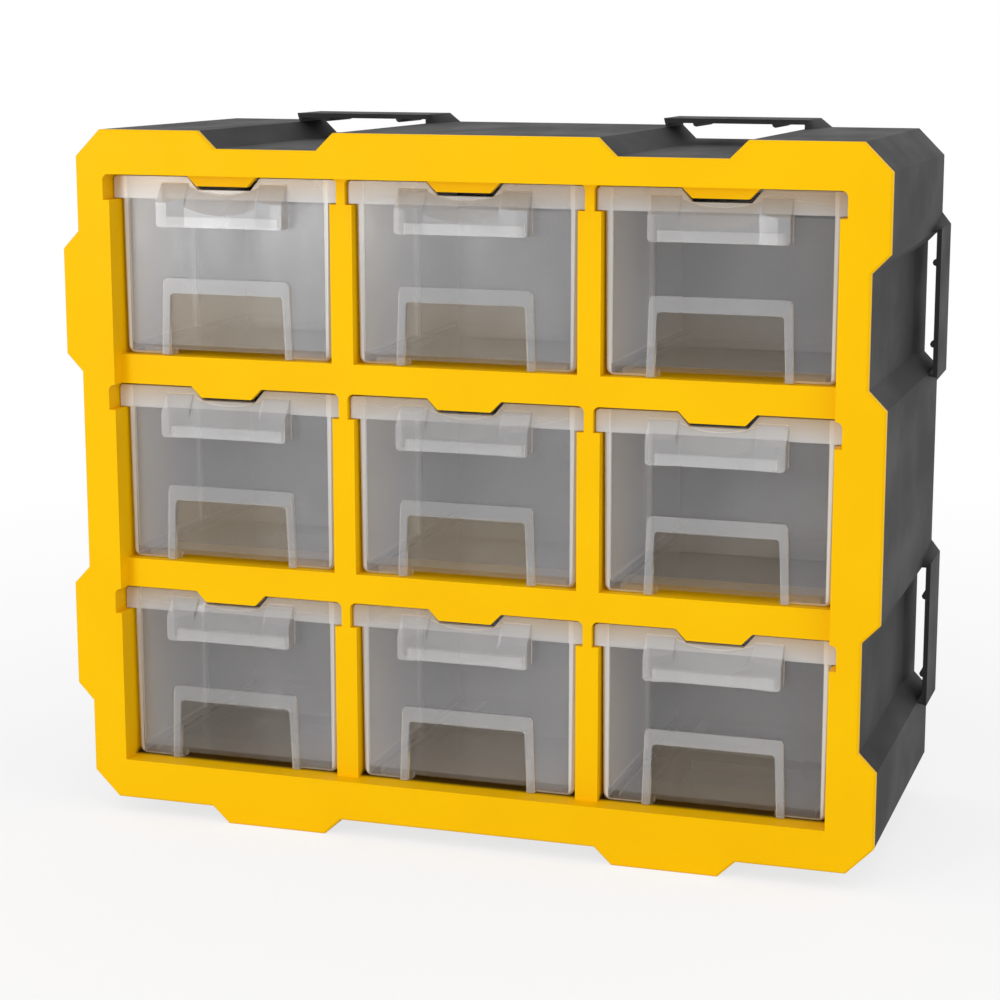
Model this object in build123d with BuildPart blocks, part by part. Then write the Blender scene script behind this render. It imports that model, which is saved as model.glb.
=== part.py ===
from build123d import *
import os

# Nine-drawer parts cabinet, in millimetres: +X to the right, +Y to the back, +Z up.
# The origin is the middle of the footprint, on the surface that the cabinet stands on.
os.makedirs("parts", exist_ok=True)

# Cabinet body, without its tabs and straps
body_width = 320.0
body_height = 270.0
body_depth = 128.0
corner_chamfer = 10.4

# Interlock: notches on the right and top, tabs on the left and bottom
notch_mouth = 56.0
notch_depth = 6.8
notch_slope = 7.0
lock_gap = 0.2
lock_place_shares = (0.25, 0.75)

# Straps across the back of the notches, and the pockets that take a neighbour's straps
strap_depth = 26.0
strap_foot = 68.5
strap_heel = 57.4
strap_crown = 59.3
strap_rise = 3.6
strap_thickness = 1.9
strap_gap = 0.8
nub_spacing = 32.4
nub_radius = 1.4
nub_sides = 8
pad_rise = 1.4

# Front frame
left_rail = 14.2
right_rail = 18.4
bottom_rail = 16.0
top_rail = 17.2
column_bar = 9.0
row_bar = 11.6
plate_thickness = 3.0
grid_setback = 6.5
web_thickness = 2.5
sleeve_depth = 40.0
sleeve_wall = 2.0
ear_reach = 2.7
ear_height = 10.0
ear_corner = 2.4
tongue_root = 29.6
tongue_tip = 21.2
tongue_drop = 4.3
tongue_thickness = 3.0
spigot_wall = 1.8
spigot_depth = 8.0
spigot_gap = 0.3
frame_edge = 0.7

# Rear housing
shell_wall = 2.2
back_wall = 2.4
runner_wall = 1.8
runner_inset = 12.0
ledge_reach = 3.0
ledge_thickness = 2.0

# Shelves and partitions
plate_wall = 2.4
seat_gap = 0.3
lap_gap = 0.2

# Drawers
drawer_side_gap = 0.7
drawer_lift = 0.3
drawer_top_gap = 0.9
drawer_setback = 9.5
drawer_back_gap = 4.0
drawer_wall = 1.6
drawer_floor = 1.6
floor_lift = 2.0
skirt_width = 5.0
side_draft = 0.7
bottom_corner = 3.0
front_edge = 1.0
ear_gap = 0.5
ear_edge = 1.6
rim_proud = 0.8
notch_gap = 1.6
notch_side_gap = 0.5

# Pull on the drawer front
pull_width = 53.0
pull_reach = 6.5
pull_drop = 10.6
pull_shoulder = 1.4
cheek_face = 4.5
cheek_slope = 7.0
cheek_height = 9.6
lip_setback = 1.2
lip_height = 4.9
scoop_sag = 3.1
pull_wall = 1.5
pull_hollow = 4.0
pull_corner = 1.5

# Label holder on the drawer front
label_width = 53.6
label_flare = 1.0
label_height = 30.4
label_top_bar = 6.0
label_side_bar = 3.0
label_proud = 1.3
label_corner = 2.5
window_corner = 1.5
window_recess = 0.5

# Divider plates and the slots that hold them
divider_place_share = 0.53
divider_thickness = 1.4
divider_gap = 0.3
divider_height = 52.0
divider_corner = 5.0
divider_foot = 2.0
rib_wall = 1.4
rib_reach = 1.6

column_names = ("left", "centre", "right")
row_names = ("bottom", "middle", "top")
columns = len(column_names)
rows = len(row_names)

# Body and interlock places
tab_mouth = notch_mouth - 2 * lock_gap
tab_depth = notch_depth - lock_gap
left_x = (tab_depth - strap_rise - body_width) / 2
right_x = left_x + body_width
base_z = tab_depth
top_z = base_z + body_height
front_y = -body_depth / 2
back_y = front_y + body_depth
lock_x = [left_x + share * body_width for share in lock_place_shares]
lock_z = [base_z + share * body_height for share in lock_place_shares]

# Openings of the front frame
window_width = body_width - left_rail - right_rail
window_height = body_height - bottom_rail - top_rail
window_centre = (left_x + left_rail + window_width / 2, base_z + bottom_rail + window_height / 2)
opening_width = (window_width - (columns - 1) * column_bar) / columns
opening_height = (window_height - (rows - 1) * row_bar) / rows
column_pitch = opening_width + column_bar
row_pitch = opening_height + row_bar
column_x = [left_x + left_rail + opening_width / 2 + i * column_pitch for i in range(columns)]
sill_z = [base_z + bottom_rail + i * row_pitch for i in range(rows)]
places = [(x, z) for z in sill_z for x in column_x]

# Depths of the frame and the housing
mouth_y = front_y + plate_thickness
grid_y = front_y + grid_setback
sleeve_back_y = front_y + sleeve_depth
cavity_back_y = back_y - back_wall
strap_front_y = back_y - strap_depth
pocket_front_y = strap_front_y - strap_gap

# Strap, pocket and channel heights, measured out of a side of the body
strap_under = strap_rise - strap_thickness
pocket_height = strap_rise + strap_gap
cover_height = pocket_height + shell_wall
channel_inset = notch_depth + shell_wall
pad_root = notch_depth + shell_wall / 2
pad_width = notch_mouth - 2 * (notch_slope - pad_rise - lock_gap)

# Drawer
drawer_depth = body_depth - drawer_setback - back_wall - drawer_back_gap
drawer_y = front_y + drawer_setback
drawer_height = opening_height - drawer_lift - drawer_top_gap
top_half = opening_width / 2 - drawer_side_gap
foot_half = top_half - side_draft
rim_height = ear_height - drawer_top_gap - drawer_lift
rim_bottom = drawer_height - rim_height
rim_width = opening_width + 2 * (ear_reach - ear_gap)
floor_top = floor_lift + drawer_floor
rim_notch = drawer_height - (tongue_drop + notch_gap - drawer_top_gap)
pull_bottom = rim_bottom - pull_drop
lip_y = lip_setback - pull_reach
lip_half = pull_width / 2 - cheek_face - cheek_slope
divider_y = divider_place_share * drawer_depth


def upright(y):
    """Plane at depth y that faces the front, with X to the right and Z up."""
    return Plane.XZ.offset(-y)


def extrude_back(depth, mode=Mode.ADD):
    """Extrude what is drawn on an upright plane towards the back."""
    extrude(amount=-depth, mode=mode)


def trapezoid(foot, crown, start, end):
    """Corners of a trapezoid that stands on a side, as places along it and distances out of it."""
    return [(-foot / 2, start), (-crown / 2, end), (crown / 2, end), (foot / 2, start)]


def on_side(side, place, points):
    """Points given along and out of one side of the body, turned into X and Z."""
    if side == "top":
        return [(place + along, top_z + out) for along, out in points]
    if side == "bottom":
        return [(place + along, base_z - out) for along, out in points]
    if side == "right":
        return [(right_x + out, place + along) for along, out in points]
    return [(left_x - out, place + along) for along, out in points]


notch_sides = [("top", x) for x in lock_x] + [("right", z) for z in lock_z]
tab_sides = [("bottom", x) for x in lock_x] + [("left", z) for z in lock_z]
notch = trapezoid(notch_mouth, notch_mouth - 2 * notch_slope, 0, -notch_depth)
tab = trapezoid(tab_mouth, tab_mouth - 2 * notch_slope, 0, tab_depth)


def body_outline(inset):
    """Front outline of the body with its notches and no tabs, drawn in by inset."""
    with BuildSketch() as outline:
        with Locations((left_x + body_width / 2, base_z + body_height / 2)):
            Rectangle(body_width, body_height)
        chamfer(outline.vertices(), corner_chamfer)
        for side, place in notch_sides:
            Polygon(*on_side(side, place, notch), mode=Mode.SUBTRACT)
        if inset:
            offset(amount=-inset, kind=Kind.INTERSECTION)
    return outline.sketch


def locked_outline():
    """Front outline of the body with its notches and its tabs."""
    with BuildSketch() as outline:
        add(body_outline(0))
        for side, place in tab_sides:
            Polygon(*on_side(side, place, tab))
    return outline.sketch


def opening_outline(x, z, grow):
    """One drawer opening with its ear slots, grown by grow all round."""
    with BuildSketch() as outline:
        with Locations((x, z + opening_height - ear_height / 2)):
            Rectangle(opening_width + 2 * (ear_reach + grow), ear_height + 2 * grow)
        fillet(outline.vertices().group_by(Axis.Y)[-1], ear_corner + grow)
        with Locations((x, z + opening_height / 2)):
            Rectangle(opening_width + 2 * grow, opening_height + 2 * grow)
    return outline.sketch


def tapered(top_half_width, foot_half_width, low, high, corner):
    """Upright profile with leaning sides and rounded lower corners."""
    with BuildSketch() as profile:
        Polygon(
            (-foot_half_width, low),
            (foot_half_width, low),
            (top_half_width, high),
            (-top_half_width, high),
        )
        fillet(profile.vertices().group_by(Axis.Y)[0], corner)
    return profile.sketch


# Front frame: rim plate with the interlock outline, grid of openings and sleeves behind them
with BuildPart() as front_frame:
    with BuildSketch(upright(front_y)):
        add(locked_outline())
    extrude_back(plate_thickness)
    chamfer(front_frame.faces().sort_by(Axis.Y)[0].edges(), frame_edge)

    # Spigot that locates the frame in the mouth of the housing
    with BuildSketch(upright(mouth_y)):
        add(body_outline(shell_wall + spigot_gap))
        add(body_outline(shell_wall + spigot_gap + spigot_wall), mode=Mode.SUBTRACT)
    extrude_back(spigot_depth)

    # Block that the nine sleeves are cut from, with the grid set back behind the rim
    with BuildSketch(upright(front_y + frame_edge)):
        with Locations(window_centre):
            Rectangle(window_width + 2 * (ear_reach + sleeve_wall), window_height + 2 * sleeve_wall)
    extrude_back(sleeve_depth - frame_edge)
    with BuildSketch(upright(front_y)):
        with Locations(window_centre):
            Rectangle(window_width, window_height)
    extrude_back(grid_setback, mode=Mode.SUBTRACT)

    # Hollows behind the bars, between the sleeves
    with BuildSketch(upright(grid_y + web_thickness)):
        with Locations(window_centre):
            Rectangle(window_width, window_height)
        for x, z in places:
            add(opening_outline(x, z, sleeve_wall), mode=Mode.SUBTRACT)
    extrude_back(sleeve_depth, mode=Mode.SUBTRACT)

    # Openings with their ear slots, and the tongues that stop the drawers
    with BuildSketch(upright(front_y)):
        for x, z in places:
            add(opening_outline(x, z, 0))
    extrude_back(sleeve_depth, mode=Mode.SUBTRACT)
    with BuildSketch(upright(grid_y)):
        for x, z in places:
            root_z = z + opening_height
            tip_z = root_z - tongue_drop
            Polygon(
                (x - tongue_root / 2, root_z + sleeve_wall),
                (x - tongue_root / 2, root_z),
                (x - tongue_tip / 2, tip_z),
                (x + tongue_tip / 2, tip_z),
                (x + tongue_root / 2, root_z),
                (x + tongue_root / 2, root_z + sleeve_wall),
            )
    extrude_back(tongue_thickness)
front_frame.part.label = "front_frame"
export_step(front_frame.part, "parts/front_frame.step")


# Rear housing: shell with channels, rails, strap loops, runners and shelf ledges
pocket = trapezoid(strap_foot + 2 * strap_gap, strap_crown + 2 * strap_gap, 0, -pocket_height)
cover = trapezoid(
    strap_foot + 2 * (strap_gap + shell_wall), strap_crown + 2 * (strap_gap + shell_wall), 0, -cover_height
)
tongue_relief = trapezoid(tab_mouth, tab_mouth, tab_depth - pad_rise, tab_depth)
strap_front = trapezoid(strap_heel, strap_crown, 0, strap_rise)
strap_back = trapezoid(strap_foot, strap_crown, 0, strap_rise)
strap_tunnel = trapezoid(notch_mouth, notch_mouth, 0, strap_under)
pad_front = trapezoid(pad_width, pad_width, -pad_root, -notch_depth)
pad_back = trapezoid(pad_width, pad_width, -pad_root, pad_rise - notch_depth)
nubs = [(-nub_spacing / 2, strap_under), (nub_spacing / 2, strap_under)]
with BuildPart() as rear_housing:
    with BuildSketch(upright(mouth_y)):
        add(locked_outline())
    extrude_back(back_y - mouth_y)
    with BuildSketch(upright(mouth_y)):
        add(body_outline(shell_wall))
    extrude_back(cavity_back_y - mouth_y, mode=Mode.SUBTRACT)

    # Runners under the bottom drawers, and ledges on the back wall under the shelves
    with BuildSketch(upright(sleeve_back_y + seat_gap)):
        for x in column_x:
            for runner_x in (x - foot_half + runner_inset, x + foot_half - runner_inset):
                with Locations((runner_x, (base_z + sill_z[0]) / 2)):
                    Rectangle(runner_wall, bottom_rail)
    extrude_back(cavity_back_y - sleeve_back_y - seat_gap)
    with BuildSketch(upright(cavity_back_y - ledge_reach)):
        for z in sill_z[1:]:
            with Locations((window_centre[0], z - plate_wall - ledge_thickness / 2)):
                Rectangle(window_width, ledge_thickness)
    extrude_back(ledge_reach)

    # Covers inside the shell, pockets cut up into them, and tongues left under the pockets
    with BuildSketch(upright(pocket_front_y - shell_wall)):
        for side, place in tab_sides:
            Polygon(*on_side(side, place, cover))
    extrude_back(cavity_back_y - pocket_front_y + shell_wall)
    with BuildSketch(upright(pocket_front_y)):
        for side, place in tab_sides:
            Polygon(*on_side(side, place, pocket))
            Polygon(*on_side(side, place, tongue_relief))
    extrude_back(back_y - pocket_front_y, mode=Mode.SUBTRACT)

    # Strap loops whose ends spread to the back, and channel floors that climb under them
    for side, place in notch_sides:
        for near_end, far_end in ((strap_front, strap_back), (pad_front, pad_back)):
            with BuildSketch(upright(strap_front_y)):
                Polygon(*on_side(side, place, near_end))
            with BuildSketch(upright(back_y)):
                Polygon(*on_side(side, place, far_end))
            loft(ruled=True)
    with BuildSketch(upright(strap_front_y)):
        for side, place in notch_sides:
            Polygon(*on_side(side, place, strap_tunnel))
    extrude_back(strap_depth, mode=Mode.SUBTRACT)
    with BuildSketch(upright(strap_front_y)):
        for side, place in notch_sides:
            with Locations(on_side(side, place, nubs)):
                RegularPolygon(nub_radius, nub_sides)
    extrude_back(strap_depth)
rear_housing.part.label = "rear_housing"
export_step(rear_housing.part, "parts/rear_housing.step")


# Shelves: plates that rest on the back ledges, slotted from behind for the partitions
shelf_left = left_x + cover_height + seat_gap
shelf_right = right_x - channel_inset - seat_gap
plate_front_y = sleeve_back_y + seat_gap
shelf_back_y = cavity_back_y - seat_gap
partition_back_y = shelf_back_y - ledge_reach
lap_y = (plate_front_y + partition_back_y) / 2
partition_x = [x + column_pitch / 2 for x in column_x[:-1]]
lap_width = plate_wall + 2 * lap_gap

for name, z in zip(("shelf_lower", "shelf_upper"), sill_z[1:]):
    with BuildPart() as shelf:
        with BuildSketch(Plane.XY.offset(z - plate_wall)):
            with Locations(((shelf_left + shelf_right) / 2, (plate_front_y + shelf_back_y) / 2)):
                Rectangle(shelf_right - shelf_left, shelf_back_y - plate_front_y)
            with Locations([(x, (lap_y + shelf_back_y) / 2) for x in partition_x]):
                Rectangle(lap_width, shelf_back_y - lap_y, mode=Mode.SUBTRACT)
        extrude(amount=plate_wall)
    shelf.part.label = name
    export_step(shelf.part, f"parts/{name}.step")

# Partitions: upright plates between the columns, slotted from the front for the shelves
partition_low = base_z + cover_height + seat_gap
partition_high = top_z - channel_inset - seat_gap
for name, x in zip(("partition_left", "partition_right"), partition_x):
    with BuildPart() as partition:
        with BuildSketch(Plane.YZ.offset(x - plate_wall / 2)):
            with Locations(((plate_front_y + partition_back_y) / 2, (partition_low + partition_high) / 2)):
                Rectangle(partition_back_y - plate_front_y, partition_high - partition_low)
            with Locations([((plate_front_y + lap_y) / 2, z - plate_wall / 2) for z in sill_z[1:]]):
                Rectangle(lap_y - plate_front_y, lap_width, mode=Mode.SUBTRACT)
        extrude(amount=plate_wall)
    partition.part.label = name
    export_step(partition.part, f"parts/{name}.step")


# Pull: wedge with two cheeks, a lip set back between them and a scoop behind the lip
lip_z = pull_bottom + lip_height
scoop_rise = Vector(0, -lip_y, rim_notch - lip_z)
with BuildPart() as pull:
    with BuildSketch(Plane.YZ):
        Polygon(
            (pull_wall, pull_bottom),
            (-pull_reach, pull_bottom),
            (-pull_reach, pull_bottom + cheek_height),
            (0, drawer_height - pull_shoulder),
            (pull_wall, drawer_height - pull_shoulder),
        )
    extrude(amount=pull_width / 2, both=True)
    fillet(pull.edges().filter_by(Axis.Y).group_by(Axis.Z)[0], pull_corner)
    with BuildSketch(Plane.XY.offset(pull_bottom)):
        Polygon(
            (-pull_width / 2 + cheek_face, -pull_reach),
            (-lip_half, lip_y),
            (lip_half, lip_y),
            (pull_width / 2 - cheek_face, -pull_reach),
        )
    extrude(amount=drawer_height - pull_bottom, mode=Mode.SUBTRACT)
    with BuildSketch(upright(lip_y)):
        with BuildLine():
            ThreePointArc((-lip_half, lip_z + scoop_sag), (0, lip_z), (lip_half, lip_z + scoop_sag))
            Polyline(
                (lip_half, lip_z + scoop_sag),
                (lip_half, drawer_height),
                (-lip_half, drawer_height),
                (-lip_half, lip_z + scoop_sag),
            )
        make_face()
    extrude(amount=scoop_rise.length, dir=scoop_rise.normalized(), mode=Mode.SUBTRACT)
    with BuildSketch(Plane.XY.offset(pull_bottom)):
        with Locations((0, (lip_y + pull_wall) / 2)):
            Rectangle(pull_width - 2 * (pull_wall + pull_corner), -lip_y - pull_wall)
    extrude(amount=pull_hollow, mode=Mode.SUBTRACT)

# Label holder: raised arch that flares to the bottom edge, and the window inside it
with BuildSketch() as label_arch:
    Polygon(
        (-label_width / 2 - label_flare, 0),
        (label_width / 2 + label_flare, 0),
        (label_width / 2, label_height),
        (-label_width / 2, label_height),
    )
    fillet(label_arch.vertices().group_by(Axis.Y)[-1], label_corner)
window_half = label_width / 2 - label_side_bar
window_height_inside = label_height - label_top_bar
with BuildSketch() as label_window:
    Polygon(
        (-window_half - label_flare, 0),
        (window_half + label_flare, 0),
        (window_half, window_height_inside),
        (-window_half, window_height_inside),
    )
    fillet(label_window.vertices().group_by(Axis.Y)[-1], window_corner)

# Drawer: tapered tray with a rim and ears, its front face at Y 0 and its foot at Z 0
inner_foot_half = foot_half - drawer_wall
with BuildPart() as drawer_form:
    with BuildSketch(upright(0)):
        add(tapered(top_half, foot_half, 0, drawer_height, bottom_corner))
    extrude_back(drawer_depth)
    front_loop = drawer_form.faces().sort_by(Axis.Y)[0].edges()
    chamfer(front_loop.sort_by(Axis.Z)[:-1], front_edge)

    # Rim band with its ears
    with BuildSketch(Plane.XY.offset(rim_bottom)):
        with Locations((0, (drawer_depth - rim_proud) / 2)):
            Rectangle(rim_width, drawer_depth + rim_proud)
    extrude(amount=rim_height)
    fillet(drawer_form.edges().filter_by(Axis.Y).group_by(Axis.Z)[-1], ear_edge)
    add(pull.part)

    # Label holder
    with BuildSketch(upright(-label_proud)):
        add(label_arch.sketch)
    extrude_back(label_proud + drawer_wall / 2)
    with BuildSketch(upright(-label_proud)):
        add(label_window.sketch)
    extrude_back(label_proud + window_recess, mode=Mode.SUBTRACT)

    # Tray, the recess under its floor, and the slit below the label window
    with BuildSketch(upright(drawer_wall)):
        add(
            tapered(
                top_half - drawer_wall, inner_foot_half, floor_top, drawer_height, bottom_corner - drawer_wall
            )
        )
    extrude_back(drawer_depth - 2 * drawer_wall, mode=Mode.SUBTRACT)
    with BuildSketch(Plane.XY):
        with Locations((0, drawer_depth / 2)):
            Rectangle(2 * (foot_half - skirt_width), drawer_depth - 2 * skirt_width)
        with Locations((0, (skirt_width - label_proud) / 2)):
            Rectangle(2 * window_half, skirt_width + label_proud)
    extrude(amount=floor_lift, mode=Mode.SUBTRACT)

    # Notch in the rim that passes the tongue
    with BuildSketch(upright(-pull_reach)):
        Polygon(
            (-tongue_tip / 2 - notch_side_gap, rim_notch),
            (tongue_tip / 2 + notch_side_gap, rim_notch),
            (tongue_root / 2 + notch_side_gap, drawer_height),
            (-tongue_root / 2 - notch_side_gap, drawer_height),
        )
    extrude_back(pull_reach + drawer_wall, mode=Mode.SUBTRACT)

    # Ribs that hold a divider plate upright
    rib_step = divider_thickness / 2 + divider_gap + rib_wall / 2
    rib_span = rib_reach + drawer_wall / 2
    rib_x = inner_foot_half - rib_reach + rib_span / 2
    with BuildSketch(Plane.XY.offset(floor_top)):
        with Locations([(x, divider_y + step) for x in (-rib_x, rib_x) for step in (-rib_step, rib_step)]):
            Rectangle(rib_span, rib_wall)
    extrude(amount=divider_height)

# Divider: plate that stands in the ribs of a drawer
lean = side_draft / drawer_height
with BuildPart() as divider_form:
    with BuildSketch(upright(divider_y - divider_thickness / 2)) as divider_plate:
        divider_low = floor_top + divider_gap
        divider_high = floor_top + divider_height
        low_half = inner_foot_half - divider_gap + lean * divider_low
        high_half = inner_foot_half - divider_gap + lean * divider_high
        Polygon(
            (-low_half, divider_low),
            (low_half, divider_low),
            (high_half, divider_high),
            (-high_half, divider_high),
        )
        chamfer(divider_plate.vertices().group_by(Axis.Y)[0], divider_foot)
        fillet(divider_plate.vertices().group_by(Axis.Y)[-1], divider_corner)
    extrude_back(divider_thickness)

# Nine drawers, each with its divider
for row_name, z in zip(row_names, sill_z):
    for column_name, x in zip(column_names, column_x):
        seat = (x, drawer_y, z + drawer_lift)
        with BuildPart() as drawer:
            with Locations(seat):
                add(drawer_form.part)
        drawer.part.label = f"drawer_{row_name}_{column_name}"
        export_step(drawer.part, f"parts/{drawer.part.label}.step")
        with BuildPart() as divider:
            with Locations(seat):
                add(divider_form.part)
        divider.part.label = f"divider_{row_name}_{column_name}"
        export_step(divider.part, f"parts/{divider.part.label}.step")
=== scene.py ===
from math import radians
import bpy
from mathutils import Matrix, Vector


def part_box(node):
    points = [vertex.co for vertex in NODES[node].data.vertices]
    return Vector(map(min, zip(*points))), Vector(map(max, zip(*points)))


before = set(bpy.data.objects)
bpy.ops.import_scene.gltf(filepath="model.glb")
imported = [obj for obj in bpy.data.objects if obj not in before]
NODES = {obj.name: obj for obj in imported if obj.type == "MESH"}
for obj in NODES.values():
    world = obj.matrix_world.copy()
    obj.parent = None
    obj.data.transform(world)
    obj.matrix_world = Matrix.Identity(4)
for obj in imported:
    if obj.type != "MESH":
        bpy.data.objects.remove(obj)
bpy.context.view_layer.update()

from types import SimpleNamespace

import bmesh
import bpy
from bpy.props import FloatProperty, FloatVectorProperty, PointerProperty
from mathutils import Matrix, Vector

bl_info = {
    "name": "Parts cabinet",
    "version": (1, 0, 0),
    "blender": (4, 5, 0),
    "location": "View3D > Sidebar > Cabinet",
    "description": "Finishes and studio for a parts cabinet with frosted drawers",
    "category": "Object",
}

INNER_PLATES = ("shelf_lower", "shelf_upper", "partition_left", "partition_right")
DRAWERS = sorted(name for name in NODES if name.startswith("drawer_"))
DIVIDERS = sorted(name for name in NODES if name.startswith("divider_"))
MILLIMETRE = 0.001

# Mouldings of a drawer front, as the solids have them
PULL_REACH = 6.5 * MILLIMETRE
FRONT_WALL = 1.6 * MILLIMETRE
WINDOW_WIDTH = 48.6 * MILLIMETRE
WINDOW_HEIGHT = 24.4 * MILLIMETRE
RIM_HEIGHT = 8.8 * MILLIMETRE
RIM_PROUD = 0.8 * MILLIMETRE
RIB_PLACE = 40.5 * MILLIMETRE
RIB_DEPTH = 8.0 * MILLIMETRE
CORNER_PLACE = 41.4 * MILLIMETRE
CORNER_DEPTH = 3.0 * MILLIMETRE
LABEL_TOP = 40.0 * MILLIMETRE

# How far the painted yellow light, the painted lighter foot of the walls and the painted shade in the bottom
# sleeves reach, and how wide a mask's border is
PAINTED_LIGHT_DEPTH = 45.0 * MILLIMETRE
PAINTED_LIGHT_HEIGHT = 55.0 * MILLIMETRE
PAINTED_LIGHT_AT_HEIGHT = 0.35
FOOT_LIGHT_HEIGHT = 45.0 * MILLIMETRE
FOOT_LIGHT_GAIN = 1.45
PAINTED_SHADE_RISE = 2.0 * MILLIMETRE
MASK_EDGE = 0.3 * MILLIMETRE

# How squarely a face lies along an axis, where side walls begin and rounded edges end
SIDE_NONE, SIDE_FULL = 0.8, 0.9
EDGE_FULL, EDGE_NONE = 0.80, 0.97

# Noises of the moulded grain with their scale and detail, and the range that a noise mostly keeps to
GRAIN_NOISES = (("Grain", 2500.0, 2.0), ("Cloud", 22.0, 1.0), ("Smear", 60.0, 4.0))
SMEAR_STRETCH = (1.0, 0.35, 0.5)
DRAWER_CLOUD_SCALE = 6.0
NOISE_LOW, NOISE_HIGH = 0.35, 0.65

# Surface of the dyed and the frosted plastic
DYED_BUMP = 0.25
FROST_BUMP = 0.15
FROST_GRAIN = 0.05 * MILLIMETRE
FROST_ROUGHNESS = (0.16, 0.26)
FROST_PATCHES = (0.8, 1.25)
FROST_IOR = 1.45
SLANT_BLEND = 0.25

# Rounding of the sharp edges
WELD_REACH = 0.002 * MILLIMETRE
FLAT_ANGLE = radians(0.5)
SHARP_ANGLE = radians(35.0)
EDGE_SEGMENTS = 2

# Lamps with their place and side, the point that they face, and the camera's sensor and nearest distance
LAMPS = (
    ("key", (-0.93, -1.75, 0.40), 0.7),
    ("top", (-0.3, -1.2, 1.9), 1.6),
    ("fill", (1.6, -0.9, 0.9), 1.4),
)
LAMP_AIM = (0.0, 0.0, 0.13)
SENSOR_WIDTH = 36.0
CLIP_START = 0.01


def colour(name, description, default):
    """A colour that a user would change."""
    return FloatVectorProperty(
        name=name, description=description, default=default, subtype="COLOR", size=3, min=0.0, max=1.0
    )


def share(name, description, default):
    """A share, from none to all, that a user would change."""
    return FloatProperty(
        name=name, description=description, default=default, subtype="FACTOR", min=0.0, max=1.0
    )


def length(name, description, default):
    """A length that a user would change."""
    return FloatProperty(name=name, description=description, default=default, unit="LENGTH", precision=5)


def angle(name, description, degrees):
    """An angle that a user would change."""
    return FloatProperty(name=name, description=description, default=radians(degrees), subtype="ANGLE")


def power(name, description, watts):
    """A lamp's power that a user would change."""
    return FloatProperty(name=name, description=description, default=watts, unit="POWER")


class CabinetFinishes(bpy.types.PropertyGroup):
    """Colours, veils and edge sizes of the cabinet's pieces."""

    frame_yellow: colour("Frame yellow", "Dyed plastic of the front frame", (0.925, 0.530, 0.001))
    frame_deep: colour("Frame deep yellow", "Cloudy patches in the frame's dye", (0.910, 0.508, 0.001))
    # Painted shade on the floor of the bottom sleeves, behind the drawer fronts
    frame_painted_shade: colour("Frame grime", "Dust under the bottom row's drawers", (0.09, 0.045, 0.004))
    housing_grey: colour("Housing grey", "Dyed plastic of the rear housing", (0.024, 0.024, 0.025))
    housing_bloom: colour("Housing bloom", "Paler bloom on the housing", (0.030, 0.030, 0.031))
    drawer_wall: colour("Drawer wall", "Frosted plastic of the drawer walls", (0.50, 0.50, 0.53))
    drawer_milk: colour("Drawer milk", "Thick mouldings on the drawer fronts", (0.82, 0.82, 0.83))
    # Painted light: yellow light from the frame, painted as colour on the rim's top edge, the front of the
    # side walls and the label windows
    painted_rim_light: colour("Drawer rim", "Top edge of the rim, which gathers yellow light", (0.78, 0.60, 0.38))
    painted_side_light: colour("Drawer cast", "Front of the side walls, which gather it too", (0.93, 0.78, 0.54))
    painted_window_light: colour("Window cast", "Label windows, which gather it too", (0.97, 0.72, 0.38))
    # Painted light and shade: the veils differ by column and row to stand in for light that falls unevenly.
    # The right column's walls and the windows of the bottom row and right column are clearer and so darker.
    # The side walls are milkier, partly for their slant and partly as painted light, most in the centre and
    # right columns
    wall_veil: share("Wall veil", "How much of the view a drawer wall hides", 0.15)
    right_wall_painted_shade: share("Clear wall veil", "The same in the right column, whose drawers are clearer", 0.075)
    side_veil: share("Side veil", "The same for the side walls, which are seen at a slant", 0.54)
    painted_side_veil: share("Milky side veil", "The same for the side walls of the centre and right columns", 0.80)
    window_veil: share("Window veil", "The same for the label window", 0.075)
    painted_window_shade: share("Clear window veil", "The same in the bottom row and the right column", 0.03)
    rim_veil: share("Rim veil", "The same for the rim", 0.38)
    edge_veil: share("Edge veil", "The same for rounded edges and ribs, which gather light", 0.60)
    pull_veil: share("Pull veil", "The same for the pull", 0.27)
    label_veil: share("Label veil", "The same for the label holder's frame", 0.255)
    divider_veil: share("Divider veil", "The same for the divider plates", 0.10)
    sheen: share("Sheen", "How much a frosted face mirrors head on", 0.028)
    sheen_slant: share("Slanted sheen", "How much more it mirrors at a slant", 0.30)
    frame_edge: length("Frame edge", "Radius on the sharp edges of the frame", 0.5 * MILLIMETRE)
    housing_edge: length("Housing edge", "Radius on the sharp edges of the housing", 0.5 * MILLIMETRE)
    drawer_edge: length("Drawer edge", "Radius on the sharp edges of the drawers", 0.25 * MILLIMETRE)


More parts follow.
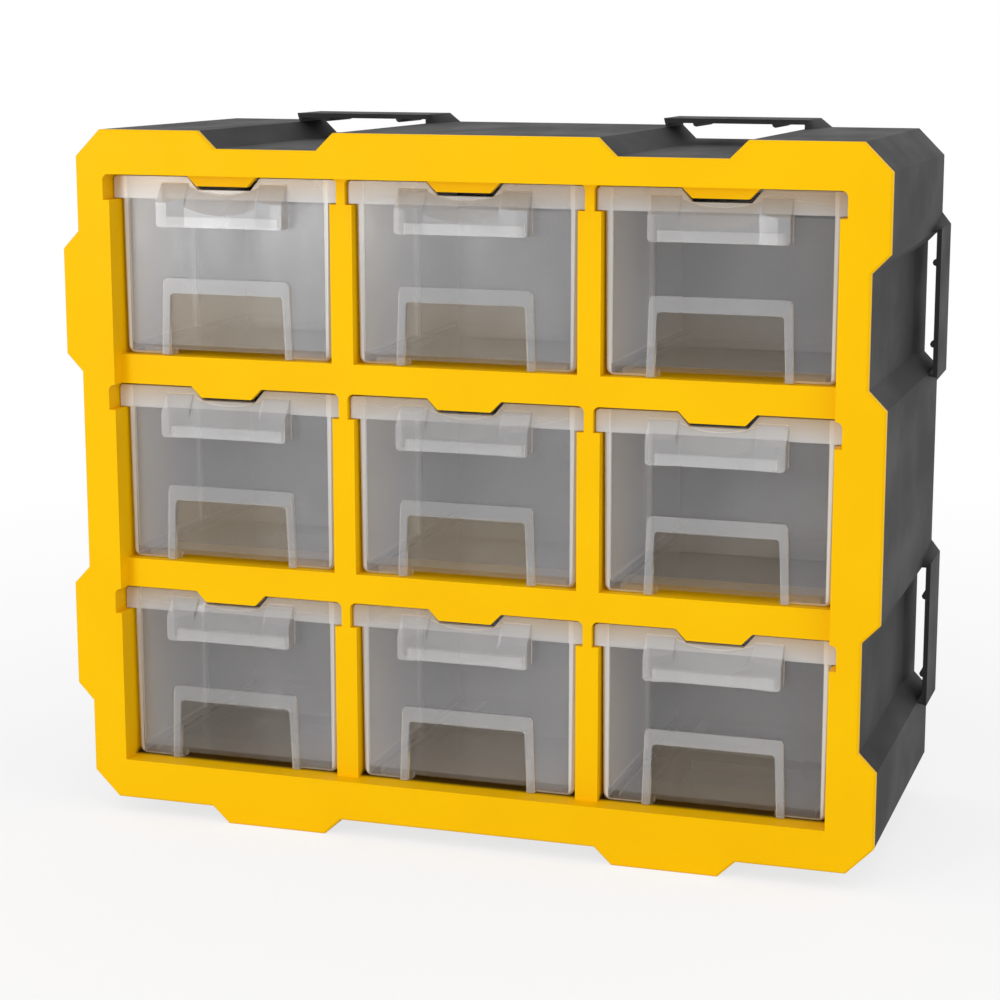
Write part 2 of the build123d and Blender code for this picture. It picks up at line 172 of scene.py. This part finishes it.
class CabinetStage(bpy.types.PropertyGroup):
    """Floor, light and camera."""

    floor_white: colour("Floor white", "Colour of the floor", (0.90, 0.90, 0.90))
    floor_size: length("Floor size", "Side of the square floor", 6.0)
    shadow_share: share("Shadow share", "How much of the object's shadow the floor shows", 0.25)
    shadow_near: length("Shadow near", "Distance from the origin where the shadow starts to fade", 0.25)
    shadow_far: length("Shadow far", "Distance from the origin where the shadow is gone", 0.75)
    camera_place: FloatVectorProperty(
        name="Camera place", description="Where the camera stands", subtype="XYZ", unit="LENGTH",
        default=(0.2938, -0.8954, 0.3147), precision=4,
    )
    camera_yaw: angle("Camera yaw", "Turn to the left of straight ahead", 17.270)
    camera_pitch: angle("Camera pitch", "Tilt below level", 10.608)
    camera_roll: angle("Camera roll", "Roll about the line of sight", 0.167)
    lens: FloatProperty(
        name="Lens", description="Focal length on a 36 mm sensor", default=85.06, unit="CAMERA"
    )
    shift_right: FloatProperty(name="Shift right", description="Sensor shift to the right", default=-0.0486)
    shift_up: FloatProperty(name="Shift up", description="Sensor shift upwards", default=-0.0268)
    key_power: power("Key light", "Power of the low light on the left, which the drawers mirror", 9.0)
    top_power: power("Top light", "Power of the light above", 4.0)
    fill_power: power("Fill light", "Power of the light on the right", 5.0)
    sky_strength: FloatProperty(name="Sky", description="Strength of the even light", default=0.75)


def place(tree, kind, at, **settings):
    """Add a node of that kind to a node tree and set its properties."""
    node = tree.nodes.new(kind)
    node.location = at
    for name, value in settings.items():
        setattr(node, name, value)
    return node


def feed(tree, socket, value):
    """Give a socket a number or another socket's value."""
    if isinstance(value, (int, float)):
        socket.default_value = value
    else:
        tree.links.new(value, socket)


def work(tree, at, operation, *values):
    """Sum on numbers and sockets."""
    node = place(tree, "ShaderNodeMath", at, operation=operation)
    for socket, value in zip(node.inputs, values):
        feed(tree, socket, value)
    return node.outputs[0]


def remap(tree, at, value, low, high, from_low=NOISE_LOW, from_high=NOISE_HIGH):
    """Stretch a value to a range, by default from the range that a noise mostly keeps to."""
    node = place(tree, "ShaderNodeMapRange", at)
    for socket, number in zip(node.inputs, (value, from_low, from_high, low, high)):
        feed(tree, socket, number)
    return node.outputs["Result"]


def blend(tree, at, mask, first, second):
    """Go from one number to another by a mask."""
    node = place(tree, "ShaderNodeMix", at, data_type="FLOAT")
    for name, value in (("Factor", mask), ("A", first), ("B", second)):
        feed(tree, node.inputs[name], value)
    return node.outputs["Result"]


def tint(tree, at, mask, first, second):
    """Go from one colour to another by a mask."""
    node = place(tree, "ShaderNodeMix", at, data_type="RGBA")
    tree.links.new(mask, node.inputs[0])
    for socket, value in zip(node.inputs[6:8], (first, second)):
        if isinstance(value, bpy.types.NodeSocket):
            tree.links.new(value, socket)
        else:
            socket.default_value = (*value, 1.0)
    return node.outputs[2]


def bump(tree, at, height, strength, distance):
    """Bump from a height."""
    node = place(tree, "ShaderNodeBump", at)
    node.inputs["Strength"].default_value = strength
    node.inputs["Distance"].default_value = distance
    tree.links.new(height, node.inputs["Height"])
    return node.outputs["Normal"]


def mix_shaders(tree, at, mask, first, second):
    """Go from one shader to another by a mask."""
    node = place(tree, "ShaderNodeMixShader", at)
    for socket, value in zip(node.inputs, (mask, first, second)):
        tree.links.new(value, socket)
    return node.outputs["Shader"]


def moulded_grain():
    """Group: fine spark-eroded grain, slow cloudiness and handling smears of moulded plastic."""
    tree = bpy.data.node_groups.get("Moulded grain")
    if tree:
        return tree
    tree = bpy.data.node_groups.new("Moulded grain", "ShaderNodeTree")
    for name, scale, _ in GRAIN_NOISES:
        socket = tree.interface.new_socket(f"{name} scale", in_out="INPUT", socket_type="NodeSocketFloat")
        socket.default_value = scale
    for name, _, _ in GRAIN_NOISES:
        tree.interface.new_socket(name, in_out="OUTPUT", socket_type="NodeSocketFloat")
    given = place(tree, "NodeGroupInput", (-900, 0))
    result = place(tree, "NodeGroupOutput", (300, 0))
    where = place(tree, "ShaderNodeTexCoord", (-900, -250))
    stretch = place(tree, "ShaderNodeMapping", (-700, -350))
    stretch.inputs["Scale"].default_value = SMEAR_STRETCH
    tree.links.new(where.outputs["Object"], stretch.inputs["Vector"])
    for row, (name, _, detail) in enumerate(GRAIN_NOISES):
        noise = place(tree, "ShaderNodeTexNoise", (-500, 200 - 250 * row))
        noise.inputs["Detail"].default_value = detail
        spot = stretch.outputs["Vector"] if name == "Smear" else where.outputs["Object"]
        tree.links.new(spot, noise.inputs["Vector"])
        tree.links.new(given.outputs[f"{name} scale"], noise.inputs["Scale"])
        tree.links.new(noise.outputs["Fac"], result.inputs[name])
    return tree


def edge_glow():
    """Group: a mask for chamfers and rounded edges, found by faces that lie along no axis."""
    tree = bpy.data.node_groups.get("Edge glow")
    if tree:
        return tree
    tree = bpy.data.node_groups.new("Edge glow", "ShaderNodeTree")
    tree.interface.new_socket("Edge", in_out="OUTPUT", socket_type="NodeSocketFloat")
    result = place(tree, "NodeGroupOutput", (700, 0))
    where = place(tree, "ShaderNodeTexCoord", (-500, 0))
    split = place(tree, "ShaderNodeSeparateXYZ", (-300, 0))
    tree.links.new(where.outputs["Normal"], split.inputs["Vector"])
    along = [work(tree, (-100, 150 - 150 * i), "ABSOLUTE", split.outputs[i]) for i in range(3)]
    flat = work(tree, (100, 100), "MAXIMUM", along[0], along[1])
    flat = work(tree, (300, 50), "MAXIMUM", flat, along[2])
    edge = remap(tree, (500, 0), flat, 1.0, 0.0, EDGE_FULL, EDGE_NONE)
    tree.links.new(edge, result.inputs["Edge"])
    return tree


def bare_finish(name):
    """A fresh material with only its output."""
    finish = bpy.data.materials.new(name)
    finish.use_nodes = True
    tree = finish.node_tree
    tree.nodes.clear()
    return finish, tree, place(tree, "ShaderNodeOutputMaterial", (1000, 0))


def new_finish(name):
    """A fresh material with its shader, its output and the grain group."""
    finish, tree, output = bare_finish(name)
    shader = place(tree, "ShaderNodeBsdfPrincipled", (600, 0))
    tree.links.new(shader.outputs["BSDF"], output.inputs["Surface"])
    grain = place(tree, "ShaderNodeGroup", (-900, 0), node_tree=moulded_grain())
    return finish, tree, shader, grain


def dyed_plastic(name, main, second, roughness, grain_depth, gloss):
    """Opaque dyed plastic with a fine grain, cloudy dye and smears that change its gloss."""
    finish, tree, shader, grain = new_finish(name)
    cloud = remap(tree, (-350, 200), grain.outputs["Cloud"], 0.0, 1.0)
    tree.links.new(tint(tree, (-100, 200), cloud, main, second), shader.inputs["Base Color"])
    rough = remap(tree, (-350, -50), grain.outputs["Smear"], *roughness)
    tree.links.new(rough, shader.inputs["Roughness"])
    normal = bump(tree, (-100, -300), grain.outputs["Grain"], DYED_BUMP, grain_depth)
    tree.links.new(normal, shader.inputs["Normal"])
    shader.inputs["Specular IOR Level"].default_value = gloss
    return finish


def paint_sleeve_shade(finish, look):
    """Paint shade on the floor of the frame's bottom sleeves, behind the drawer fronts, where little light
    reaches.
    """
    tree = finish.node_tree
    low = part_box("drawer_bottom_left")[0]
    front_y = low.y + PULL_REACH
    where = place(tree, "ShaderNodeTexCoord", (-600, 600))
    split = place(tree, "ShaderNodeSeparateXYZ", (-400, 600))
    tree.links.new(where.outputs["Object"], split.inputs["Vector"])
    behind = remap(
        tree, (-200, 700), split.outputs["Y"], 0.0, 1.0, front_y - FRONT_WALL, front_y + FRONT_WALL
    )
    under = remap(tree, (-200, 500), split.outputs["Z"], 1.0, 0.0, low.z, low.z + PAINTED_SHADE_RISE)
    # Painted shade: darken the sleeve floor behind the bottom row's drawer fronts
    painted_shade = work(tree, (0, 600), "MULTIPLY", behind, under)
    base = tree.nodes["Principled BSDF"].inputs["Base Color"]
    unshaded = base.links[0].from_socket
    tree.links.new(tint(tree, (200, 500), painted_shade, unshaded, look.frame_painted_shade), base)


def frost(tree, shader, grain, veil, look):
    """Gloss, grain and the see-through veil that the drawers and dividers share."""
    rough = remap(tree, (0, -50), grain.outputs["Smear"], *FROST_ROUGHNESS)
    tree.links.new(rough, shader.inputs["Roughness"])
    patchy = remap(tree, (0, -600), grain.outputs["Cloud"], *FROST_PATCHES)
    tree.links.new(work(tree, (300, -600), "MULTIPLY", patchy, veil), shader.inputs["Alpha"])
    normal = bump(tree, (0, -300), grain.outputs["Grain"], FROST_BUMP, FROST_GRAIN)
    tree.links.new(normal, shader.inputs["Normal"])
    shader.inputs["IOR"].default_value = FROST_IOR
    surface = shader.outputs["BSDF"].links[0].to_socket
    slant = place(tree, "ShaderNodeLayerWeight", (300, -800))
    slant.inputs["Blend"].default_value = SLANT_BLEND
    mirrored = work(
        tree, (450, -800), "MULTIPLY_ADD", slant.outputs["Facing"], look.sheen_slant, look.sheen
    )
    gloss = place(tree, "ShaderNodeBsdfGlossy", (600, -500))
    tree.links.new(rough, gloss.inputs["Roughness"])
    sheer = mix_shaders(tree, (800, 200), mirrored, shader.outputs["BSDF"], gloss.outputs["BSDF"])
    tree.links.new(sheer, surface)


def drawer_masks(tree):
    """Masks for the parts of a drawer, measured on the bottom left one and repeated over the grid."""
    low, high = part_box("drawer_bottom_left")
    next_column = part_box("drawer_bottom_centre")[0]
    next_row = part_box("drawer_middle_left")[0]
    middle = (low.x + high.x) / 2
    front_y = low.y + PULL_REACH
    rib_y = sum(corner.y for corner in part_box("divider_bottom_left")) / 2
    half_pitch = (next_column.x - low.x) / 2
    row_gap = (next_row.z - high.z) / 2
    rim_top = high.z - low.z

    where = place(tree, "ShaderNodeTexCoord", (-1500, 300))
    split = place(tree, "ShaderNodeSeparateXYZ", (-1300, 300))
    tree.links.new(where.outputs["Object"], split.inputs["Vector"])
    faces = place(tree, "ShaderNodeSeparateXYZ", (-1300, 100))
    tree.links.new(where.outputs["Normal"], faces.inputs["Vector"])
    x, y, z = split.outputs
    across = work(tree, (-1100, 500), "SUBTRACT", x, middle)
    across = work(tree, (-950, 500), "WRAP", across, half_pitch, -half_pitch)
    across = work(tree, (-800, 500), "ABSOLUTE", across)
    height = work(tree, (-1100, 350), "SUBTRACT", z, low.z)
    height = work(tree, (-950, 350), "WRAP", height, next_row.z - low.z - row_gap, -row_gap)

    def below(at, value, limit):
        """Mask for values below a limit."""
        return remap(tree, at, value, 1.0, 0.0, limit - MASK_EDGE / 2, limit + MASK_EDGE / 2)

    in_front = below((-600, 500), y, front_y + FRONT_WALL + MASK_EDGE)
    in_width = below((-600, 350), across, WINDOW_WIDTH / 2)
    in_height = below((-600, 200), height, WINDOW_HEIGHT)
    window = work(tree, (-400, 350), "MULTIPLY", in_width, in_height)
    sideways = work(tree, (-600, -100), "ABSOLUTE", faces.outputs["X"])

    off_rib = work(tree, (-950, -400), "SUBTRACT", y, rib_y)
    off_rib = work(tree, (-800, -400), "ABSOLUTE", off_rib)
    rib = below((-600, -400), off_rib, RIB_DEPTH / 2)
    corner = below((-600, -700), y, front_y + CORNER_DEPTH)
    thick = place(tree, "ShaderNodeGroup", (-600, -250), node_tree=edge_glow()).outputs["Edge"]
    for mask, inside in ((rib, RIB_PLACE), (corner, CORNER_PLACE)):
        outside = work(tree, (-400, -400), "SUBTRACT", 1.0, below((-600, -550), across, inside))
        outside = work(tree, (-300, -400), "MULTIPLY", mask, outside)
        thick = work(tree, (-200, -300), "MAXIMUM", thick, outside)

    not_right = below((-600, -1150), x, middle + 3 * half_pitch)
    bottom_row = below((-600, -1300), z, next_row.z - row_gap)
    # Painted yellow light: strongest near the front and the foot of a drawer
    near = remap(tree, (-150, 700), y, 1.0, 0.0, front_y, front_y + PAINTED_LIGHT_DEPTH)
    lower = remap(tree, (-150, 850), height, 1.0, PAINTED_LIGHT_AT_HEIGHT, 0.0, PAINTED_LIGHT_HEIGHT)
    return SimpleNamespace(
        proud=below((-600, 650), y, front_y - RIM_PROUD - MASK_EDGE),
        label=below((-600, -850), height, LABEL_TOP),
        window=work(tree, (-250, 400), "MULTIPLY", window, in_front),
        not_rim=below((-600, 50), height, rim_top - RIM_HEIGHT),
        # Painted yellow light along the top of the rim
        painted_rim_rise=remap(tree, (0, 900), height, 0.0, 1.0, rim_top - RIM_HEIGHT, rim_top),
        side=remap(tree, (-400, 50), sideways, 0.0, 1.0, SIDE_NONE, SIDE_FULL),
        thick=thick,
        left_column=below((-600, -1000), x, middle + half_pitch),
        not_right=not_right,
        # Painted light and shade: windows outside the right column and the bottom row keep the milkier veil
        painted_lit_pane=work(tree, (-400, -1300), "SUBTRACT", not_right, bottom_row),
        # Painted light: walls lighter towards their foot, for light from the sill
        milkier=remap(tree, (-400, -1450), height, FOOT_LIGHT_GAIN, 1.0, 0.0, FOOT_LIGHT_HEIGHT),
        cast=work(tree, (-50, 800), "MULTIPLY", near, lower),
    )


def drawer_veil(tree, mask, look):
    """How much of the view each part of a drawer hides, with painted light and shade: veils that differ by
    column and row, and walls milkier towards their foot.
    """
    # Painted shade: a clearer, darker wall in the right column
    wall = blend(tree, (-400, -1150), mask.not_right, look.right_wall_painted_shade, look.wall_veil)
    # Painted light: the walls' veil grows towards their foot
    wall = work(tree, (-250, -1150), "MULTIPLY", wall, mask.milkier)
    # Painted light: milkier side walls, most in the centre and right columns
    flank = blend(tree, (-400, -1000), mask.left_column, look.painted_side_veil, look.side_veil)
    # Painted shade: clearer, darker windows in the bottom row and the right column
    pane = blend(tree, (-250, -1300), mask.painted_lit_pane, look.painted_window_shade, look.window_veil)
    veil = blend(tree, (-150, 150), mask.side, wall, flank)
    veil = blend(tree, (0, 150), mask.window, veil, pane)
    veil = blend(tree, (150, 150), mask.not_rim, look.rim_veil, veil)
    gathered = work(tree, (250, 300), "MAXIMUM", veil, look.edge_veil)
    veil = blend(tree, (300, 150), mask.thick, veil, gathered)
    moulding = blend(tree, (300, 0), mask.label, look.pull_veil, look.label_veil)
    return blend(tree, (450, 150), mask.proud, veil, moulding)


def drawer_dye(tree, mask, look):
    """Colour of each part of a drawer, with painted yellow light on the top of the rim, the front of the
    side walls and the label windows.
    """
    # Painted yellow light on the front of the side walls and on the label windows
    dye = tint(tree, (0, 700), mask.cast, look.drawer_milk, look.painted_side_light)
    dye = tint(tree, (100, 500), mask.side, look.drawer_wall, dye)
    dye = tint(tree, (150, 700), mask.window, dye, look.painted_window_light)
    dye = tint(tree, (200, 500), mask.thick, dye, look.drawer_milk)
    # Painted yellow light on the top of the rim
    rim = tint(tree, (150, 900), mask.painted_rim_rise, look.drawer_milk, look.painted_rim_light)
    dye = tint(tree, (300, 500), mask.not_rim, rim, dye)
    return tint(tree, (450, 500), mask.proud, dye, look.drawer_milk)


def drawer_plastic(look):
    """Frosted plastic that is milkier in the mouldings and clearer in the label window."""
    finish, tree, shader, grain = new_finish("drawer_plastic")
    grain.inputs["Cloud scale"].default_value = DRAWER_CLOUD_SCALE
    mask = drawer_masks(tree)
    tree.links.new(drawer_dye(tree, mask, look), shader.inputs["Base Color"])
    frost(tree, shader, grain, drawer_veil(tree, mask, look), look)
    return finish


def divider_plastic(look):
    """Frosted plastic of the loose plates, milkier along their edges."""
    finish, tree, shader, grain = new_finish("divider_plastic")
    edge = place(tree, "ShaderNodeGroup", (-600, -250), node_tree=edge_glow())
    veil = blend(tree, (-150, 150), edge.outputs["Edge"], look.divider_veil, look.edge_veil)
    cloud = remap(tree, (-350, 400), grain.outputs["Cloud"], 0.0, 1.0)
    dye = tint(tree, (-100, 400), cloud, look.drawer_wall, look.drawer_milk)
    tree.links.new(dye, shader.inputs["Base Color"])
    frost(tree, shader, grain, veil, look)
    return finish


def give(names, finish):
    """Put one finish on CAD nodes."""
    for name in names:
        slots = NODES[name].data.materials
        slots.clear()
        slots.append(finish)


def soften(names, radius):
    """Weld the nodes' triangles, clear the seams in flat faces and round the sharp edges."""
    for name in names:
        piece = NODES[name]
        weld = piece.modifiers.new("Weld seams", "WELD")
        weld.merge_threshold = WELD_REACH
        flat = piece.modifiers.new("Clear flat seams", "DECIMATE")
        flat.decimate_type = "DISSOLVE"
        flat.angle_limit = FLAT_ANGLE
        edge = piece.modifiers.new("Round edges", "BEVEL")
        edge.width = radius
        edge.segments = EDGE_SEGMENTS
        edge.limit_method = "ANGLE"
        edge.angle_limit = SHARP_ANGLE
        edge.profile = 0.5
        edge.material = -1
        edge.use_clamp_overlap = True
        edge.harden_normals = False
        smooth = piece.modifiers.new("Even shading", "WEIGHTED_NORMAL")
        smooth.keep_sharp = True


def background_rays(tree, at):
    """Mask for the rays that should meet the plain white background."""
    path = place(tree, "ShaderNodeLightPath", at)
    camera, glossy, through = (path.outputs[f"Is {ray} Ray"] for ray in ("Camera", "Glossy", "Transmission"))
    seen = work(tree, (at[0] + 200, at[1]), "MAXIMUM", camera, glossy)
    return work(tree, (at[0] + 400, at[1]), "MAXIMUM", seen, through)


def make_floor(scene, stage):
    """A plain floor that shows white to the camera and keeps a soft shadow near the cabinet."""
    shape = bmesh.new()
    bmesh.ops.create_grid(shape, x_segments=1, y_segments=1, size=stage.floor_size / 2)
    sheet = bpy.data.meshes.new("floor")
    shape.to_mesh(sheet)
    shape.free()
    floor = bpy.data.objects.new("floor", sheet)
    scene.collection.objects.link(floor)
    finish, tree, output = bare_finish("floor_white")
    matt = place(tree, "ShaderNodeBsdfDiffuse", (300, -100))
    matt.inputs["Color"].default_value = (*stage.floor_white, 1.0)
    white = place(tree, "ShaderNodeEmission", (300, -250))
    where = place(tree, "ShaderNodeTexCoord", (-500, -100))
    far = place(tree, "ShaderNodeVectorMath", (-300, -100), operation="LENGTH")
    tree.links.new(where.outputs["Object"], far.inputs[0])
    plain = remap(
        tree, (-100, -100), far.outputs["Value"],
        1.0 - stage.shadow_share, 1.0, stage.shadow_near, stage.shadow_far,
    )
    seen = work(tree, (300, 200), "MULTIPLY", background_rays(tree, (-300, 200)), plain)
    surface = mix_shaders(tree, (600, 0), seen, matt.outputs["BSDF"], white.outputs["Emission"])
    tree.links.new(surface, output.inputs["Surface"])
    sheet.materials.append(finish)


def make_sky(scene, stage):
    """Even light, and plain white where the camera sees past the floor."""
    world = bpy.data.worlds.new("studio")
    scene.world = world
    world.use_nodes = True
    tree = world.node_tree
    tree.nodes.clear()
    output = place(tree, "ShaderNodeOutputWorld", (700, 0))
    sky = place(tree, "ShaderNodeBackground", (200, 0))
    sky.inputs["Strength"].default_value = stage.sky_strength
    white = place(tree, "ShaderNodeBackground", (200, -150))
    for back in (sky, white):
        back.inputs["Color"].default_value = (1.0, 1.0, 1.0, 1.0)
    seen = background_rays(tree, (-300, 200))
    surface = mix_shaders(tree, (500, 0), seen, sky.outputs["Background"], white.outputs["Background"])
    tree.links.new(surface, output.inputs["Surface"])


def make_lamps(scene, stage):
    """Three soft square lamps that face the cabinet."""
    for name, where, size in LAMPS:
        lamp = bpy.data.lights.new(name, "AREA")
        lamp.shape = "SQUARE"
        lamp.size = size
        lamp.energy = getattr(stage, f"{name}_power")
        holder = bpy.data.objects.new(name, lamp)
        scene.collection.objects.link(holder)
        holder.location = where
        aim = Vector(LAMP_AIM) - Vector(where)
        holder.rotation_euler = aim.to_track_quat("-Z", "Y").to_euler()


def make_camera(scene, stage):
    """The camera at the photograph's place."""
    data = bpy.data.cameras.new("camera")
    camera = bpy.data.objects.new("camera", data)
    scene.collection.objects.link(camera)
    data.sensor_fit = "HORIZONTAL"
    data.sensor_width = SENSOR_WIDTH
    data.lens = stage.lens
    data.shift_x = stage.shift_right
    data.shift_y = stage.shift_up
    data.clip_start = CLIP_START
    turn = (
        Matrix.Rotation(stage.camera_yaw, 3, "Z")
        @ Matrix.Rotation(radians(90.0) - stage.camera_pitch, 3, "X")
        @ Matrix.Rotation(stage.camera_roll, 3, "Z")
    )
    camera.matrix_world = Matrix.Translation(stage.camera_place) @ turn.to_4x4()
    scene.camera = camera


class CABINET_OT_front_frame(bpy.types.Operator):
    """Finish the yellow front frame"""

    bl_idname = "cabinet.front_frame"
    bl_label = "Finish front frame"

    def execute(self, context):
        look = context.scene.cabinet_finishes
        finish = dyed_plastic(
            "frame_plastic", look.frame_yellow, look.frame_deep,
            roughness=(0.34, 0.46), grain_depth=0.06 * MILLIMETRE, gloss=0.04,
        )
        # Painted shade on the floor of the bottom sleeves
        paint_sleeve_shade(finish, look)
        give(["front_frame"], finish)
        soften(["front_frame"], look.frame_edge)
        return {"FINISHED"}


class CABINET_OT_rear_housing(bpy.types.Operator):
    """Finish the dark rear housing and the plates inside it"""

    bl_idname = "cabinet.rear_housing"
    bl_label = "Finish rear housing"

    def execute(self, context):
        look = context.scene.cabinet_finishes
        finish = dyed_plastic(
            "housing_plastic", look.housing_grey, look.housing_bloom,
            roughness=(0.58, 0.72), grain_depth=0.1 * MILLIMETRE, gloss=0.2,
        )
        give(["rear_housing", *INNER_PLATES], finish)
        soften(["rear_housing"], look.housing_edge)
        return {"FINISHED"}


class CABINET_OT_drawers(bpy.types.Operator):
    """Finish the frosted drawers"""

    bl_idname = "cabinet.drawers"
    bl_label = "Finish drawers"

    def execute(self, context):
        look = context.scene.cabinet_finishes
        give(DRAWERS, drawer_plastic(look))
        soften(DRAWERS, look.drawer_edge)
        return {"FINISHED"}


class CABINET_OT_dividers(bpy.types.Operator):
    """Finish the divider plates"""

    bl_idname = "cabinet.dividers"
    bl_label = "Finish dividers"

    def execute(self, context):
        give(DIVIDERS, divider_plastic(context.scene.cabinet_finishes))
        return {"FINISHED"}


class CABINET_OT_stage(bpy.types.Operator):
    """Set the floor, the soft light and the camera"""

    bl_idname = "cabinet.stage"
    bl_label = "Set the stage"

    def execute(self, context):
        scene = context.scene
        scene.view_settings.view_transform = "Standard"
        for make in (make_floor, make_sky, make_lamps, make_camera):
            make(scene, scene.cabinet_stage)
        return {"FINISHED"}


STEPS = (
    CABINET_OT_front_frame,
    CABINET_OT_rear_housing,
    CABINET_OT_drawers,
    CABINET_OT_dividers,
    CABINET_OT_stage,
)


class CABINET_PT_panel(bpy.types.Panel):
    """Cabinet finishes and stage"""

    bl_label = "Parts cabinet"
    bl_idname = "CABINET_PT_panel"
    bl_space_type = "VIEW_3D"
    bl_region_type = "UI"
    bl_category = "Cabinet"

    def draw(self, context):
        for group in (context.scene.cabinet_finishes, context.scene.cabinet_stage):
            box = self.layout.box()
            for name in group.__annotations__:
                box.prop(group, name)
        for step in STEPS:
            self.layout.operator(step.bl_idname)


CLASSES = (CabinetFinishes, CabinetStage, *STEPS, CABINET_PT_panel)


def register():
    for kind in CLASSES:
        bpy.utils.register_class(kind)
    bpy.types.Scene.cabinet_finishes = PointerProperty(type=CabinetFinishes)
    bpy.types.Scene.cabinet_stage = PointerProperty(type=CabinetStage)


def unregister():
    del bpy.types.Scene.cabinet_stage
    del bpy.types.Scene.cabinet_finishes
    for kind in reversed(CLASSES):
        bpy.utils.unregister_class(kind)


def main():
    register()
    bpy.ops.cabinet.front_frame()
    bpy.ops.cabinet.rear_housing()
    bpy.ops.cabinet.drawers()
    bpy.ops.cabinet.dividers()
    bpy.ops.cabinet.stage()
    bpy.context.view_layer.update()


if __name__ == "__main__":
    main()
